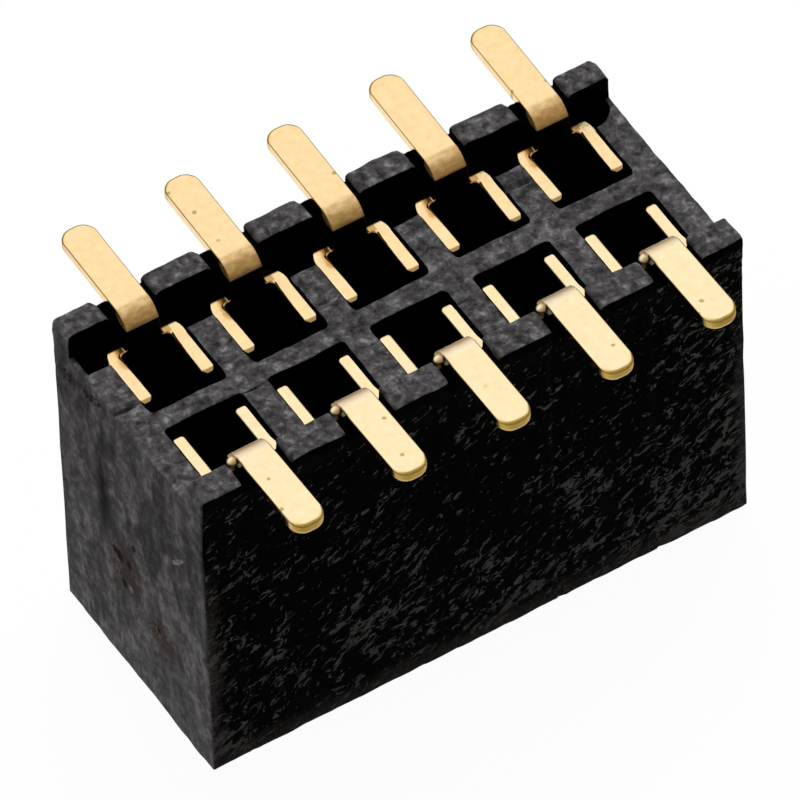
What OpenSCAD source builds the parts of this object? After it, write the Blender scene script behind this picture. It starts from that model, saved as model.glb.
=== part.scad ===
// Two-row surface-mount pin socket, ten positions.
// It stands on its mating face. X runs along the rows, Y across them and Z up to the solder tails.
// The origin is the centre of the mating face. All sizes are in millimetres.

/* [Layout] */
// Spacing of the contacts along a row
pitch = 1.27; // [1.24:0.01:1.5]
// Spacing of the two rows
row_pitch = 1.27; // [1.24:0.01:1.35]

/* [Housing] */
// Height of the side walls' tops above the mating face
body_h = 4.43; // [4.4:0.01:5.5]
// Width across the two side walls
body_w = 2.96; // [2.96:0.01:3.2]
// Length past the outermost contact centres, at each end
end_margin = 0.82; // [0.7:0.01:1.2]
// Thickness of a side wall
wall_t = 0.31; // [0.25:0.01:0.33]
// Rise of the side walls above the ribs and the spine
wall_rise = 0.34; // [0.25:0.01:0.45]
// Thickness of the plastic that the mating pins pass through
base_t = 0.6; // [0.45:0.05:0.7]
// Length of a contact's cavity along the row
cavity_l = 0.945; // [0.945:0.005:0.98]
// Thickness of the spine between the two rows
spine_t = 0.3; // [0.25:0.01:0.4]
// Rounding of the housing's upright edges
edge_r = 0.03; // [0.02:0.01:0.15]
// Chamfer along the edges of the mating face
base_chamfer = 0.02; // [0.02:0.01:0.1]

/* [Slots and notches] */
// Distance of the rear slot's inner face from the middle plane
rear_slot_y = 0.885; // [0.85:0.005:0.95]
// Distance of the front slot's inner face from the middle plane
front_slot_y = 0.94; // [0.85:0.005:0.96]
// Depth of both slots below the ribs
slot_d = 0.9; // [0.5:0.05:1.4]
// Skin of plastic that closes a slot at the end faces
slot_skin = 0.07; // [0.04:0.01:0.15]
// Width of the notch that a tail passes through
notch_w = 0.57; // [0.48:0.01:0.62]
// Depth of the notch below the wall's top
notch_d = 0.11; // [0.11:0.01:0.2]
// Width of a pin entry's square throat
entry_w = 0.52; // [0.46:0.01:0.6]
// Width of the entry's funnel at the mating face
funnel_w = 0.86; // [0.7:0.01:0.95]
// Depth of the funnel
funnel_d = 0.24; // [0.1:0.01:0.35]

/* [Contact] */
// Thickness of the contact's sheet
sheet = 0.17; // [0.14:0.005:0.17]
// Space between the two arms where they leave the back plate
arm_gap = 0.6; // [0.54:0.01:0.6]
// Distance of the back plate's outer face from the middle plane
plate_y = 1.14; // [1.08:0.01:1.15]
// Distance of the arms' free edges from the middle plane
arm_end_y = 0.27; // [0.25:0.01:0.4]
// Depth of the arms' top edges below the ribs
arm_drop = 0.04; // [0.01:0.01:0.15]
// Height of the arms, down to where they narrow into the two beams
arm_h = 1.15; // [1.0:0.05:1.2]
// Width of a beam at its root
beam_root_w = 0.5; // [0.4:0.01:0.6]
// Width of a beam at its tip
beam_tip_w = 0.34; // [0.3:0.01:0.45]
// Space between the beams at the pinch
pinch_gap = 0.33; // [0.31:0.01:0.38]
// Slope of the beams towards the pinch, in degrees
beam_slope = 5; // [4.8:0.1:6]
// Outward slope of the beams' tips, in degrees
flare_slope = 18; // [10:1:20]

/* [Tail] */
// Width of the solder tail and its neck
tail_w = 0.4; // [0.32:0.01:0.44]
// Rise of the tail's top face above the side walls
tail_rise = 0.1; // [0.1:0.01:0.2]
// Distance of the tail's tip from the middle plane
tail_tip_y = 2.42; // [2:0.01:2.8]
// Radius inside the tail's bend
bend_r = 0.065; // [0.06:0.005:0.08]
// Rounding of the tail's corners in plan
tip_r = 0.165; // [0.05:0.005:0.18]

/* [Hidden] */
$fn = 48;

positions = 5;
places = [for (i = [1:positions]) (i - (positions + 1) / 2) * pitch];
body_l = (positions - 1) * pitch + 2 * end_margin;
floor_z = body_h - wall_rise;
wall_y = body_w / 2 - wall_t;
notch_z = body_h - notch_d;
// A cut that starts or ends outside the solid goes this far past it
past = 0.5;
// Rounding of the cavities' corners in plan and of the wall blocks' top corners
small_r = 0.06;
// Largest angle between two marks on a bend
bend_step = 8;
// Rounding of the rear slot's inner corner at the right end, and the front slot's at the left
slot_corner_r = 0.26;

row_y = row_pitch / 2;
arm_top = floor_z - arm_drop;
arm_bottom = arm_top - arm_h;
tail_top = body_h + tail_rise;
arm_outer = arm_gap / 2 + sheet;
arm_middle = (arm_gap + sheet) / 2;
// The contact's own frame has its origin at its pin's centre, with Y towards its own side wall
plate_outer = plate_y - row_y;
plate_inner = plate_outer - sheet;
plate_middle = plate_outer - sheet / 2;
arm_end = arm_end_y - row_y;
fold_r = 0.05;
arm_corner_r = 0.05;
arm_taper_h = 0.35;
beam_lead = 0.1;
beam_bend_r = 1;
pinch_r = 0.45;
flare_l = 0.25;
// Straight length that brings the beam from the arm's plane to the pinch
beam_l = (arm_middle - (pinch_gap + sheet) / 2 - (beam_bend_r + pinch_r) * (1 - cos(beam_slope)))
    / sin(beam_slope);
beam_end = arm_bottom - beam_l - past;
tongue_w = 0.56;
tongue_l = 0.95;
// Space between a barb's tip and the cavity's side
barb_gap = 0.012;
barb_out = (cavity_l - tongue_w) / 2 - barb_gap;
barb_h = 0.22;
barb_pitch = 0.36;
bend_mid_r = bend_r + sheet / 2;
tail_tip = tail_tip_y - row_y;
stub_w = 0.09;
stub_h = 0.3;
stub_r = 0.04;

// Rectangle centred on the origin with round corners
module round_rect(length, width, r) {
    square([length - 2 * r, width], center = true);
    square([length, width - 2 * r], center = true);
    for (sx = [-1, 1], sy = [-1, 1])
        translate([sx * (length / 2 - r), sy * (width / 2 - r)])
            circle(r);
}

// Rectangle that stands on the X axis, with its two top corners rounded
module tombstone(width, height, r) {
    translate([-width / 2, 0])
        square([width, height - r]);
    translate([-width / 2 + r, 0])
        square([width - 2 * r, height]);
    for (sx = [-1, 1])
        translate([sx * (width / 2 - r), height - r])
            circle(r);
}

// Rectangle that stands on the X axis, with its two bottom corners cut off
module chamfered(width, height, cut) {
    side = width / 2;
    polygon([[cut - side, 0], [side - cut, 0], [side, cut],
             [side, height], [-side, height], [-side, cut]]);
}

// Puts an outline drawn in X and Z into place and carries it along Y, half to each side
module across(width) {
    rotate([90, 0, 0])
        linear_extrude(width, center = true)
            children();
}

// Puts an outline drawn in Y and Z into place and carries it along X, half to each side
module along(length) {
    rotate([90, 0, 90])
        linear_extrude(length, center = true)
            children();
}

// Bent sheet seen edge on. A mark on its middle line is [x, y, heading], and a stretch is
// [straight length, angle of the bend after it, radius of that bend], with left turns positive.
function ahead(mark, length) =
    [mark[0] + length * cos(mark[2]), mark[1] + length * sin(mark[2]), mark[2]];

function bent(mark, angle, r) =
    let (side = sign(angle), heading = mark[2] + angle)
    [mark[0] + side * r * (sin(heading) - sin(mark[2])),
     mark[1] + side * r * (cos(mark[2]) - cos(heading)), heading];

// Marks along the middle line, with one for every few degrees of a bend
function marks(mark, stretches, i = 0) =
    i == len(stretches) ? [mark] :
    let (
        stretch = stretches[i],
        corner = ahead(mark, stretch[0]),
        steps = ceil(abs(stretch[1]) / bend_step),
        arc = [for (k = [1:1:steps]) bent(corner, stretch[1] * k / steps, stretch[2])]
    )
    concat([mark], steps == 0 ? [] : [corner], [for (k = [0:1:steps - 2]) arc[k]],
           marks(steps == 0 ? corner : arc[steps - 1], stretches, i + 1));

function beside(mark, side) =
    [mark[0], mark[1]] + side * sheet / 2 * [-sin(mark[2]), cos(mark[2])];

module sheet_edge(mark, stretches) {
    line = marks(mark, stretches);
    last = len(line) - 1;
    polygon(concat([for (m = line) beside(m, -1)], [for (i = [last:-1:0]) beside(line[i], 1)]));
}

// Side wall above the ribs, from the middle plane's side: a plain strip with a block between notches
module wall_comb() {
    ends = concat([-body_l / 2 - notch_w / 2], places, [body_l / 2 + notch_w / 2]);
    translate([-body_l / 2, floor_z])
        square([body_l, notch_z - floor_z]);
    for (i = [0:positions])
        translate([(ends[i] + ends[i + 1]) / 2, notch_z])
            tombstone(ends[i + 1] - ends[i] - notch_w, notch_d, small_r);
}

// Cavity of one contact, from the ribs down to the base
module cavity() {
    depth = wall_y - spine_t / 2;
    translate([0, spine_t / 2 + depth / 2, base_t])
        linear_extrude(body_h)
            round_rect(cavity_l, depth, small_r);
}

// Square throat through the base with a funnel at the mating face
module pin_entry() {
    rise = funnel_d * funnel_w / (funnel_w - entry_w);
    translate([0, 0, base_t / 2])
        cube([entry_w, entry_w, base_t + past], center = true);
    intersection() {
        across(funnel_w)
            polygon([[-funnel_w / 2, 0], [funnel_w / 2, 0], [0, rise]]);
        along(funnel_w)
            polygon([[-funnel_w / 2, 0], [funnel_w / 2, 0], [0, rise]]);
    }
    translate([0, 0, -past / 2])
        cube([funnel_w, funnel_w, past], center = true);
}

// Slot behind the side wall, where the back plates stand; one end has a round inner corner
module slot(inner_y) {
    width = wall_y - inner_y;
    reach = body_l / 2 - slot_skin;
    translate([0, 0, floor_z - slot_d])
        linear_extrude(body_h)
            difference() {
                translate([-reach, inner_y])
                    square([2 * reach, width]);
                difference() {
                    translate([reach - slot_corner_r, inner_y])
                        square([slot_corner_r, min(slot_corner_r, width)]);
                    translate([reach - slot_corner_r, inner_y + slot_corner_r])
                        circle(slot_corner_r);
                }
            }
}

// Everything cut out of the housing for the row on the +Y side
module row_cuts(slot_y) {
    slot(slot_y);
    for (x = places)
        translate([x, 0, 0]) {
            cavity();
            translate([0, row_y, 0])
                pin_entry();
        }
}

module housing() {
    color("#2d2c2e")
        difference() {
            intersection() {
                union() {
                    translate([0, 0, floor_z / 2])
                        cube([body_l, body_w, floor_z], center = true);
                    for (side = [-1, 1])
                        translate([0, side * (wall_y + wall_t / 2), 0])
                            across(wall_t)
                                wall_comb();
                }
                linear_extrude(body_h)
                    round_rect(body_l, body_w, edge_r);
                across(body_w)
                    chamfered(body_l, body_h, base_chamfer);
                along(body_l)
                    chamfered(body_w, body_h, base_chamfer);
            }
            row_cuts(rear_slot_y);
            rotate(180)
                row_cuts(front_slot_y);
        }
}

// Channel of bent sheet in plan: the back plate with an arm folded forward at each side
module channel_plan() {
    inner = arm_gap / 2;
    corner_r = fold_r + sheet;
    for (side = [-1, 1]) {
        translate([side * arm_middle - sheet / 2, arm_end])
            square([sheet, plate_outer - corner_r - arm_end]);
        translate([side * (inner - fold_r), plate_outer - corner_r])
            rotate(side > 0 ? 0 : 90)
                intersection() {
                    difference() {
                        circle(corner_r);
                        circle(fold_r);
                    }
                    square(corner_r);
                }
    }
    translate([fold_r - inner, plate_inner])
        square([arm_gap - 2 * fold_r, sheet]);
}

// Outline of the arms and beams from the side: round corners at the top, narrower below
module arm_side() {
    root = beam_root_w / 2;
    tip = beam_tip_w / 2;
    polygon([[arm_end, arm_bottom], [-root, arm_bottom - arm_taper_h], [-tip, beam_end],
             [tip, beam_end], [root, arm_bottom - arm_taper_h],
             [plate_outer - fold_r - sheet, arm_bottom]]);
    translate([arm_end, arm_bottom])
        square([plate_outer - arm_end, arm_top - arm_corner_r - arm_bottom]);
    translate([arm_end + arm_corner_r, arm_bottom])
        square([plate_outer - arm_end - arm_corner_r, arm_top - arm_bottom]);
    translate([arm_end + arm_corner_r, arm_top - arm_corner_r])
        circle(arm_corner_r);
}

// Beam on the +X side, edge on: it leans in to the pinch and flares out at its tip
module beam_edge() {
    sheet_edge([arm_middle, arm_bottom, -90], [
        [beam_lead, -beam_slope, beam_bend_r],
        [beam_l, beam_slope + flare_slope, pinch_r],
        [flare_l, 0, 0]
    ]);
}

// Tongue below the back plate, with barbs that hold it between the cavity's sides
module tongue() {
    translate([0, plate_middle, 0]) {
        across(sheet)
            translate([-tongue_w / 2, arm_bottom - tongue_l])
                square([tongue_w, tongue_l]);
        for (side = [0, 1], i = [1, 2])
            mirror([side, 0, 0])
                across(sheet)
                    translate([tongue_w / 2, arm_bottom - i * barb_pitch])
                        polygon([[0, 0], [barb_out, barb_h], [0, barb_h]]);
    }
}

// Neck, bend and solder tail, with round corners at the tip
module tail() {
    intersection() {
        along(tail_w)
            sheet_edge([plate_middle, arm_top, 90], [
                [tail_top - sheet / 2 - bend_mid_r - arm_top, -90, bend_mid_r],
                [tail_tip - plate_middle - bend_mid_r, 0, 0]
            ]);
        translate([0, tail_tip / 2, 0])
            linear_extrude(tail_top + past)
                round_rect(tail_w, tail_tip, tip_r);
    }
}

// Small stub beside the neck, where the strip that carried the contact was cut away
module stub() {
    translate([(tail_w + stub_w) / 2, plate_middle, arm_top])
        across(sheet)
            tombstone(stub_w, stub_h, stub_r);
}

module contact() {
    color("#e6c98c") {
        intersection() {
            union() {
                translate([0, 0, arm_bottom])
                    linear_extrude(arm_top - arm_bottom)
                        channel_plan();
                for (side = [0, 1])
                    mirror([side, 0, 0])
                        across(2 * plate_outer)
                            beam_edge();
            }
            along(2 * arm_outer)
                arm_side();
        }
        tongue();
        tail();
        stub();
    }
}

// Contact of the row on the +Y side
module contact_rear(i) {
    translate([places[i - 1], row_y, 0])
        contact();
}

// Contact of the row on the -Y side, turned to face the other way
module contact_front(i) {
    translate([places[i - 1], -row_y, 0])
        rotate(180)
            contact();
}

housing();
contact_front(1);  // contact_front_1
contact_front(2);  // contact_front_2
contact_front(3);  // contact_front_3
contact_front(4);  // contact_front_4
contact_front(5);  // contact_front_5
contact_rear(1);  // contact_rear_1
contact_rear(2);  // contact_rear_2
contact_rear(3);  // contact_rear_3
contact_rear(4);  // contact_rear_4
contact_rear(5);  // contact_rear_5
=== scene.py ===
"""Looks of a two-row surface-mount pin socket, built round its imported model.

Lengths are in millimetres and turned to metres with MM. X runs along the rows, Y across them
towards the rear row, and Z up to the solder tails; the floor is the plane Z = 0.
"""
import math

import bmesh
import bpy
import numpy as np
from mathutils import Matrix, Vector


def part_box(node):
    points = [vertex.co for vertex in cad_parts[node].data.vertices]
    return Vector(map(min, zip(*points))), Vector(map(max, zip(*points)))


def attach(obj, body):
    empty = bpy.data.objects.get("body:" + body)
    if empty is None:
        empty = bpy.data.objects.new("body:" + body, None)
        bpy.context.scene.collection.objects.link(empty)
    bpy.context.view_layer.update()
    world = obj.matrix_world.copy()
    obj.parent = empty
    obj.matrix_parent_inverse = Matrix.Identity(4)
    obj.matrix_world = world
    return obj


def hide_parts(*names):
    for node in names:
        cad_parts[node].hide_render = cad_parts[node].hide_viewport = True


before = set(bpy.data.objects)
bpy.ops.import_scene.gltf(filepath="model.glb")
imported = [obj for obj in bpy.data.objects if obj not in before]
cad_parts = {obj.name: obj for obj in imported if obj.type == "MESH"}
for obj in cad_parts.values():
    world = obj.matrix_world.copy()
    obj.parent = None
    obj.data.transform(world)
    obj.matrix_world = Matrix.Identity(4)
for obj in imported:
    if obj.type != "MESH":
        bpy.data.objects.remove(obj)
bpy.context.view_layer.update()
scene = bpy.context.scene
MM = 0.001
POSITIONS = 5
PITCH = 1.27
FRONT = [f"contact_front_{i + 1}" for i in range(POSITIONS)]
REAR = [f"contact_rear_{i + 1}" for i in range(POSITIONS)]

# The camera stands front left and well above, with a long lens, and leans a little to one side.
VIEW_AZIMUTH = -29.92
VIEW_ELEVATION = 49.87
VIEW_LEAN = 2.50
VIEW_DISTANCE = 210.1
VIEW_TARGET = (0.024, 0.112, 2.309)
LENS = 893.2
SENSOR = 36.0
CLIP_NEAR = 50.0
CLIP_FAR = 2000.0


def make_camera():
    """Camera at target plus distance along the direction set by azimuth and elevation; its up
    axis is the upright one turned by the lean towards its right."""
    azimuth = math.radians(VIEW_AZIMUTH)
    elevation = math.radians(VIEW_ELEVATION)
    lean = math.radians(VIEW_LEAN)
    level = math.cos(elevation)
    back = np.array([math.sin(azimuth) * level, -math.cos(azimuth) * level, math.sin(elevation)])
    side = np.array([math.cos(azimuth), math.sin(azimuth), 0.0])
    upright = np.cross(back, side)
    up = math.cos(lean) * upright + math.sin(lean) * side
    right = np.cross(up, back)
    data = bpy.data.cameras.new("camera")
    data.sensor_width = SENSOR
    data.lens = LENS
    data.clip_start = CLIP_NEAR * MM
    data.clip_end = CLIP_FAR * MM
    camera = bpy.data.objects.new("camera", data)
    scene.collection.objects.link(camera)
    eye = (np.array(VIEW_TARGET) + VIEW_DISTANCE * back) * MM
    turn = Matrix(np.column_stack([right, up, back]).tolist()).to_4x4()
    camera.matrix_world = Matrix.Translation(eye.tolist()) @ turn
    scene.camera = camera


make_camera()
scene.view_settings.view_transform = "Standard"


def linear(code):
    """Linear colour of an sRGB hex code."""
    values = np.array([int(code[i:i + 2], 16) for i in (1, 3, 5)]) / 255
    low = values / 12.92
    high = ((values + 0.055) / 1.055) ** 2.4
    return (*np.where(values <= 0.04045, low, high), 1.0)


class Value:
    """Output of a node, to reckon with: each sum, product or the like adds a node that works it
    out, from this value and from another one or a number."""

    def __init__(self, socket):
        self.socket = socket
        self.tree = socket.id_data

    def also(self, name):
        """Another output of the same node."""
        return Value(self.socket.node.outputs[name])

    def math(self, operation, other=0.0):
        """Result of that operation on this value and the other."""
        return add(self.tree, "Math", {"operation": operation}, i0=self, i1=other)

    def __add__(self, other):
        return self.math("ADD", other)

    def __sub__(self, other):
        return self.math("SUBTRACT", other)

    def __rsub__(self, other):
        return add(self.tree, "Math", {"operation": "SUBTRACT"}, i0=other, i1=self)

    def __mul__(self, other):
        return self.math("MULTIPLY", other)

    def __truediv__(self, other):
        return self.math("DIVIDE", other)

    def __abs__(self):
        return self.math("ABSOLUTE")

    def spread(self, low, high, out_low=0.0, out_high=1.0):
        """The range from low to high, carried smoothly to the output range."""
        return add(self.tree, "MapRange", {"interpolation_type": "SMOOTHSTEP"}, i0=self, i1=low,
                   i2=high, i3=out_low, i4=out_high)

    def blend(self, first, second):
        """The first colour, mixed with this share of the second."""
        return add(self.tree, "Mix", {"data_type": "RGBA"}, out=2, i0=self, i6=first, i7=second)


def set_inputs(node, **links):
    """Sets a node's inputs, named with underscores for spaces or numbered as i0, i1 and so on, to
    a plain value, a colour's hex code or another node's output."""
    for name, value in links.items():
        by_number = name[0] == "i" and name[1:].isdigit()
        socket = node.inputs[int(name[1:]) if by_number else name.replace("_", " ")]
        if isinstance(value, Value):
            node.id_data.links.new(value.socket, socket)
        else:
            socket.default_value = linear(value) if isinstance(value, str) else value


def add(tree, kind, settings=None, out=0, stops=(), **links):
    """Adds a node and returns one of its outputs. Settings are the node's own properties, stops
    are a colour ramp's places and hex codes in rising order, and links are its inputs."""
    node = tree.nodes.new("ShaderNode" + kind)
    for name, value in (settings or {}).items():
        setattr(node, name, value)
    for number, (place, code) in enumerate(stops):
        elements = node.color_ramp.elements
        element = elements[number] if number < len(elements) else elements.new(place)
        element.position = place
        element.color = linear(code)
    set_inputs(node, **links)
    return Value(node.outputs[out])


def new_material(name):
    """Material of that name, its tree and the shader on its output."""
    material = bpy.data.materials.new(name)
    material.use_nodes = True
    return material, material.node_tree, material.node_tree.nodes["Principled BSDF"]


def scaled(tree, sizes, turn=(0, 0, 0)):
    """Object coordinates measured in pattern sizes, in mm along each axis after the turn."""
    turned = add(tree, "Mapping", Vector=add(tree, "TexCoord", out="Object"), Rotation=turn)
    return add(tree, "Mapping", Vector=turned, Scale=[1 / (size * MM) for size in sizes])


def noise(tree, sizes, turn=(0, 0, 0), detail=2.0, distortion=0.0, roughness=0.5):
    """Noise between 0 and 1 whose features have those sizes in mm."""
    return add(tree, "TexNoise", Vector=scaled(tree, sizes, turn), Scale=1.0, Detail=detail,
               Roughness=roughness, Distortion=distortion)


def product(factors):
    """All factors multiplied with each other."""
    total = factors[0]
    for factor in factors[1:]:
        total = total * factor
    return total


def highest(values):
    """The highest of the values."""
    top = values[0]
    for value in values[1:]:
        top = top.math("MAXIMUM", value)
    return top


def distance(first, second):
    """Root of the sum of both squares."""
    return (first * first + second * second).math("SQRT")


def place_mm(tree):
    """Object coordinates X, Y and Z in mm."""
    place = add(tree, "SeparateXYZ", Vector=add(tree, "TexCoord", out="Object"))
    return [place.also(axis) / MM for axis in "XYZ"]


def mirror_ray(tree):
    """1 for the rays that reflections and glass send out, and 0 for all others."""
    path = add(tree, "LightPath", out="Is Glossy Ray")
    return path.math("MAXIMUM", path.also("Is Transmission Ray"))


def camera_ray(tree):
    """1 for the rays that the camera sends out, and 0 for all others."""
    return add(tree, "LightPath", out="Is Camera Ray")


# Levels of the room as reflections show it, where 1 is white, and its even light on dull surfaces
ROOM_TOP = 1.07
ROOM_LOW = 0.30
ROOM_FRONT = 0.42
ROOM_DIFFUSE = 0.12
# Where the room changes, as heights Z and as ways Y of a direction one long
RISE_WAY = (0.0, 0.62)
FRONT_WAY = (-0.06, -0.36)
WARM_WAY = (0.45, 0.0)
LOW_TINT = "#dca968"
FRONT_TINT = "#ffecc4"
WHITE = "#ffffff"


def make_world():
    """White for the camera. Reflections show a room that is bright overhead, dimmer towards the
    horizon and, in front, a darker and warmer room; dull surfaces get a weak even light."""
    world = bpy.data.worlds.new("studio")
    scene.world = world
    world.use_nodes = True
    tree = world.node_tree
    way = add(tree, "SeparateXYZ", Vector=add(tree, "TexCoord", out="Generated"))
    height = way.also("Z")
    front = way.also("Y").spread(*FRONT_WAY)
    shiny = mirror_ray(tree)
    room = add(tree, "Mix", i0=front, i2=height.spread(*RISE_WAY, ROOM_LOW, ROOM_TOP), i3=ROOM_FRONT)
    level = add(tree, "Mix", i0=shiny, i2=ROOM_DIFFUSE, i3=room)
    level = add(tree, "Mix", i0=camera_ray(tree), i2=level, i3=1.0)
    tint = front.blend(height.spread(*WARM_WAY).blend(WHITE, LOW_TINT), FRONT_TINT)
    set_inputs(tree.nodes["Background"], Color=shiny.blend(WHITE, tint), Strength=level)


FLOOR_SIZE = 400.0
# How much of the floor's brightness comes from the lamps, which alone can be in shadow
SHADOW_SHARE = 0.04
# The floor as the part's light: its colour, where its reflection fades to the room's low level,
# by the way from the part's middle, and where and to what level it dims in front
FLOOR_DIM = "#5a5a5a"
FLOOR_FADE = (6.0, 11.0)
FLOOR_FRONT = (-3.0, -5.0)
FLOOR_FRONT_LEVEL = 0.64


def make_floor():
    """Pale sheet under the part: white to the eye and in reflections, with a faint shadow, and
    dim as a source of light, so that the part's front stays dark."""
    material, tree, shader = new_material("white card")
    set_inputs(shader, Base_Color=WHITE, Roughness=1.0, Specular_IOR_Level=0.0)
    glow = add(tree, "Emission", Color=WHITE, Strength=1.0)
    seen = add(tree, "MixShader", Fac=SHADOW_SHARE, i1=glow, i2=Value(shader.outputs[0]))
    x, y = place_mm(tree)[:2]
    far = distance(x, y).spread(*FLOOR_FADE)
    level = far.spread(0.0, 1.0, 1.0, ROOM_LOW) * y.spread(*FLOOR_FRONT, 1.0, FLOOR_FRONT_LEVEL)
    mirrored = add(tree, "Emission", Color=far.blend(WHITE, LOW_TINT), Strength=level)
    dim = add(tree, "BsdfDiffuse", Color=FLOOR_DIM)
    other = add(tree, "MixShader", Fac=mirror_ray(tree), i1=dim, i2=mirrored)
    both = add(tree, "MixShader", Fac=camera_ray(tree), i1=other, i2=seen)
    set_inputs(tree.nodes["Material Output"], Surface=both)
    half = FLOOR_SIZE / 2 * MM
    mesh = bpy.data.meshes.new("floor")
    mesh.from_pydata([(-half, -half, 0), (half, -half, 0), (half, half, 0), (-half, half, 0)],
                     [], [(0, 1, 2, 3)])
    mesh.materials.append(material)
    floor = bpy.data.objects.new("floor", mesh)
    scene.collection.objects.link(floor)


def add_lamp(name, toward, level, spread_angle):
    """Distant soft lamp that shines from a direction. A level of 1 lights a white surface that
    faces it to white. Reflections don't show it, because they show the room."""
    data = bpy.data.lights.new(name, "SUN")
    data.energy = level * math.pi
    data.angle = math.radians(spread_angle)
    lamp = bpy.data.objects.new(name, data)
    lamp.visible_glossy = False
    way = np.array(toward, float)
    way /= np.linalg.norm(way)
    side = np.cross((0.0, 1.0, 0.1), way)
    side /= np.linalg.norm(side)
    turn = np.column_stack([side, np.cross(way, side), way])
    lamp.matrix_world = Matrix(turn.tolist()).to_4x4()
    scene.collection.objects.link(lamp)


make_world()
make_floor()
add_lamp("key", toward=(0.45, 0.62, 1.0), level=0.95, spread_angle=60)
add_lamp("side", toward=(-1.0, 0.25, 0.22), level=0.50, spread_angle=40)

# The contact's sheet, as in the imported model
SHEET = 0.17
ARM_GAP = 0.6
FOLD_R = 0.05
PLATE_Y = 1.14
ROW_Y = 0.635
ARM_END_Y = 0.27
ARM_TOP = 4.05
ARM_BOTTOM = 2.90
TAIL_W = 0.4
BEND_R = 0.065
TIP_R = 0.165
TONGUE_W = 0.56
TONGUE_L = 0.95
BARB_OUT = 0.18
BARB_H = 0.22
BARB_PITCH = 0.36
BARBS = 2
BEAM_ROOT_W = 0.5
BEAM_TIP_W = 0.34
BEAM_TAPER_H = 0.35
BEAM_LEAD = 0.1
BEAM_SLOPE = 5.0
BEAM_BEND_R = 1.0
PINCH_GAP = 0.33
PINCH_R = 0.45
FLARE_SLOPE = 18.0
FLARE_L = 0.25
# Roundings of the blank's corners
TONGUE_R = 0.06
BARB_FOOT_R = 0.03
BARB_TIP_R = 0.052
ROOT_R = 0.05
ARM_FOOT_R = 0.08
ARM_CORNER_R = 0.085
BEAM_END_R = 0.08
TAPER_INNER_R = 0.3
TAPER_OUTER_R = 0.1
# Bend between the upright plate and the leaning neck
NECK_R = 0.30
# Half round of the arms' free ends, seen from above, and the most of it that is rounded off
ARM_END_R = 0.085
ARM_END_REACH = 0.98
# Rise of the rear contacts' top rim towards the plate: half of RISE times the square of the way
# past RISE_FROM. It fades in above and beside these places of the blank
RISE_FROM = 0.85
RISE = 0.78
RISE_FADE_V = (ARM_TOP - 0.10, ARM_TOP - 0.05)
RISE_FADE_U = (0.22, 0.25)
# The knob beside the neck: its place up the blank and past the neck's side, its half sizes along
# X, upward and outward, and the bend's lean there
KNOB_V = 4.395
KNOB_OUT = -0.005
KNOB_RADII = (0.078, 0.034, 0.060)
KNOB_LEAN = 32.0
# Rounding of the sheet's edge, on the face that the tail turns up and on the other one
EDGE_TAIL = (0.022, 0.060)
EDGE_TIP = (0.045, 0.070)
EDGE_NECK = 0.002
EDGE_PLATE = (0.050, 0.020)
EDGE_LOW = (0.040, 0.030)
# How far before and past a fold or bend the rounding changes, and how far up the arms
EDGE_FOLD = (0.04, 0.08)
EDGE_BEND = (0.04, 0.10)
EDGE_LOW_H = 0.3
# Longest run of an outline without a point, shortest one between two, and most turn in one step
OUTLINE_STEP = 0.035
OUTLINE_GAP = 0.002
OUTLINE_TURN = 12.0
# Heights over which the tongue turns out of the arms' foot and the neck out of their top
TONGUE_TURN_H = 0.12
NECK_TURN_H = 0.05
# Points on each quarter round of the rim. The knob's steps round it and its highest row, both in
# degrees, and its count of rows
RIM_STEPS = 6
KNOB_STEP = 20
KNOB_TOP = 78
KNOB_ROWS = 9
# Samples along a line that is bent
BEND_SAMPLES = 4001
# Lines across the tail's bend, a fold and a beam's two bends, and shares of an arm's round end
TAIL_CUTS = 14
FOLD_CUTS = 12
BEAM_CUTS = (3, 6)
ARM_END_CUTS = (1, 0.8, 0.6, 0.4, 0.2, 0.1)

PLATE_HALF = ARM_GAP / 2 - FOLD_R
FOLD_MID_R = FOLD_R + SHEET / 2
TAIL_MID_R = BEND_R + SHEET / 2
PLATE_MID = PLATE_Y - SHEET / 2
FOLD_U = PLATE_HALF + FOLD_MID_R * math.pi / 2
ARM_X = ARM_GAP / 2 + SHEET / 2
ARM_U = FOLD_U + PLATE_Y - FOLD_R - SHEET - ARM_END_Y
BEAM_U = ARM_U - (ROW_Y - ARM_END_Y)
TONGUE_SIDE_U = (TONGUE_W / 2 + BARB_OUT + BEAM_U - BEAM_ROOT_W / 2) / 2
# Straight length that brings a beam from the arm's plane to the pinch
BEAM_L = (ARM_X - (PINCH_GAP + SHEET) / 2 - (BEAM_BEND_R + PINCH_R)
          * (1 - math.cos(math.radians(BEAM_SLOPE)))) / math.sin(math.radians(BEAM_SLOPE))
BEAM_ARC = BEAM_BEND_R * math.radians(BEAM_SLOPE)
BEAM_TURN_V = BEAM_LEAD + BEAM_ARC + BEAM_L
BEAM_TOTAL = BEAM_TURN_V + PINCH_R * math.radians(BEAM_SLOPE + FLARE_SLOPE) + FLARE_L


def ramp_up(values, low, high):
    """0 up to low, 1 from high on, and even between them."""
    return np.clip((values - low) / (high - low), 0, 1)


def vectors(items, name):
    """The items' vectors of that name, as an array with a row for each item."""
    values = np.empty(len(items) * 3)
    items.foreach_get(name, values)
    return values.reshape(-1, 3)


def unit(rows):
    """Rows divided by their lengths."""
    return rows / np.linalg.norm(rows, axis=1)[:, None]


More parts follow.
